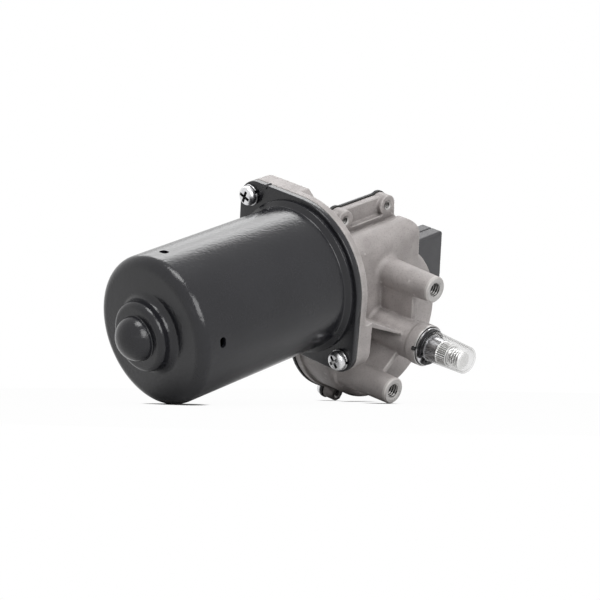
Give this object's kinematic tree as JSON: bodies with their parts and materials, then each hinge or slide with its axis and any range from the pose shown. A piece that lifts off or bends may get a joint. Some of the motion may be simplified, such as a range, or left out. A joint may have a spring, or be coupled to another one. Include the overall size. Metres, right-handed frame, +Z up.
{
  "type": "wiper motor",
  "caption": "Windscreen wiper motor: round black motor can bolted to a die-cast worm gear case with screw posts, connector and splined crank shaft under a clear cap.",
  "frame": {"origin": "on the output shaft's axis, where the crank's tapered seat starts", "axes": "+Z up from the flat surface that the motor lies on, +X level and the way the motor points from its dome towards the gear case, +Y level and away from the crank's side"},
  "size_m": [0.1914, 0.0867, 0.0971],
  "materials": {
    "can_paint": "satin black paint on drawn steel",
    "cast_metal": "grey die-cast aluminium, as cast",
    "zinc_plate": "bright zinc plate",
    "steel": "ground steel",
    "spring_steel": "phosphated spring steel",
    "lamination_steel": "stacked electrical steel",
    "sintered_bronze": "oil-filled sintered bronze",
    "copper": "bare copper",
    "enamelled_wire": "enamelled copper wire",
    "ferrite": "sintered ferrite",
    "carbon": "pressed carbon and copper",
    "seal_rubber": "matt black rubber",
    "grey_plastic": "moulded glass-filled nylon",
    "gear_plastic": "moulded acetal",
    "clear_plastic": "clear soft plastic"
  },
  "bodies": {
    "motor_body": {"motor_can": "can_paint", "magnets": "ferrite", "nose_bush": "sintered_bronze", "bush_retainer": "steel", "thrust_ball": "steel", "flange_screws": "zinc_plate", "flange_washers": "zinc_plate", "gear_housing": "cast_metal", "drive_end_bearing": "steel", "worm_end_bush": "sintered_bronze", "brush_card": "grey_plastic", "brushes": "carbon", "brush_springs": "spring_steel", "rear_shaft_bush": "sintered_bronze", "front_shaft_bush": "sintered_bronze", "shaft_seal": "seal_rubber", "cover_gasket": "seal_rubber", "gear_cover": "can_paint", "cover_screws": "zinc_plate", "connector_shell": "grey_plastic", "connector_pins": "copper", "contact_carrier": "grey_plastic", "park_contacts": "copper"},
    "output": {"output_shaft": "zinc_plate", "drive_plate": "steel", "worm_wheel": "gear_plastic", "park_disc": "copper", "inner_thrust_washer": "steel", "outer_thrust_washer": "zinc_plate", "circlip": "spring_steel"},
    "armature": {"armature_shaft": "steel", "armature_core": "lamination_steel", "windings": "enamelled_wire", "commutator": "copper"},
    "cap": {"shaft_cap": "clear_plastic"}
  },
  "joints": [
    {"name": "armature_spin", "type": "hinge", "parent": "motor_body", "child": "armature", "pos_m": [-0.04881, 0.03243, 0.03085], "axis": [0.9518, 0, 0.3067], "continuous": true},
    {"name": "output_spin", "type": "hinge", "parent": "motor_body", "child": "output", "pos_m": [0, 0, 0], "axis": [0.1009, -0.9444, -0.313], "continuous": true},
    {"name": "cap_pull", "type": "slide", "parent": "output", "child": "cap", "axis": [0.1009, -0.9444, -0.313], "range_m": [0, 0.03]}
  ],
  "couplings": [
    {"joint": "output_spin", "follows": "armature_spin", "ratio": 0.018868}
  ]
}
